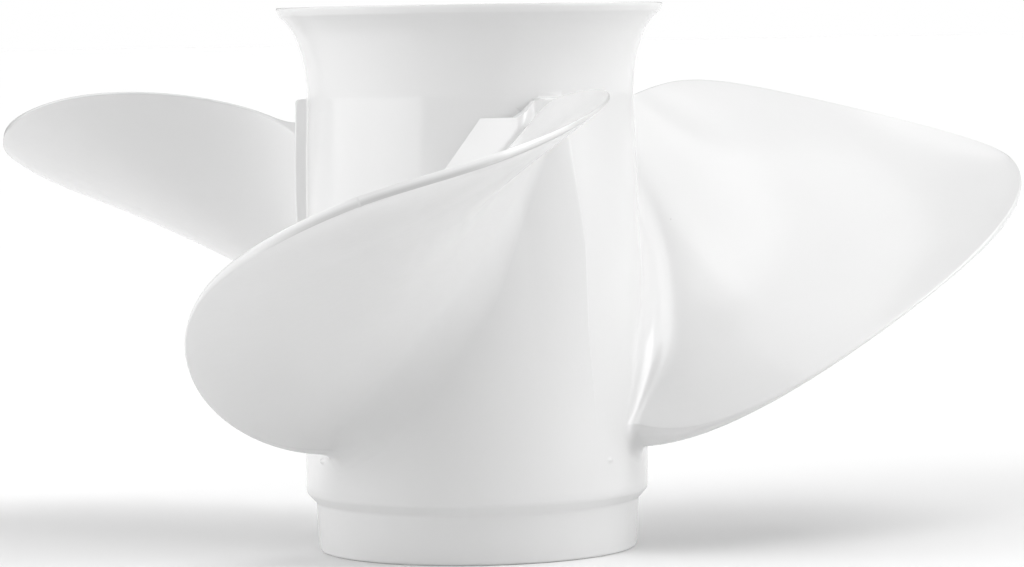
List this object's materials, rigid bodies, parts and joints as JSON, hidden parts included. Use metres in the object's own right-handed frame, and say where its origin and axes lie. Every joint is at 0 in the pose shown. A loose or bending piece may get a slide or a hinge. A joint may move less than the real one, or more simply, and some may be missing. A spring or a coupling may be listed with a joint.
{
  "type": "outboard motor propeller",
  "caption": "White painted right-hand outboard propeller: flared exhaust barrel with raked, skewed blades, a ribbed inner hub and a rubber-bushed splined sleeve.",
  "frame": {"origin": "on the shaft axis, in the plane of the fore rim that the propeller stands on", "axes": "+Z along the shaft axis toward the aft flare; the picture looks along +Y"},
  "size_m": [0.2746, 0.2653, 0.1395],
  "materials": {
    "white_paint": "gloss white paint on die-cast aluminium",
    "black_rubber": "matt black rubber",
    "bronze": "machined bronze"
  },
  "bodies": {
    "root": {"propeller_casting": "white_paint", "rubber_bush": "black_rubber", "splined_sleeve": "bronze"}
  },
  "joints": []
}
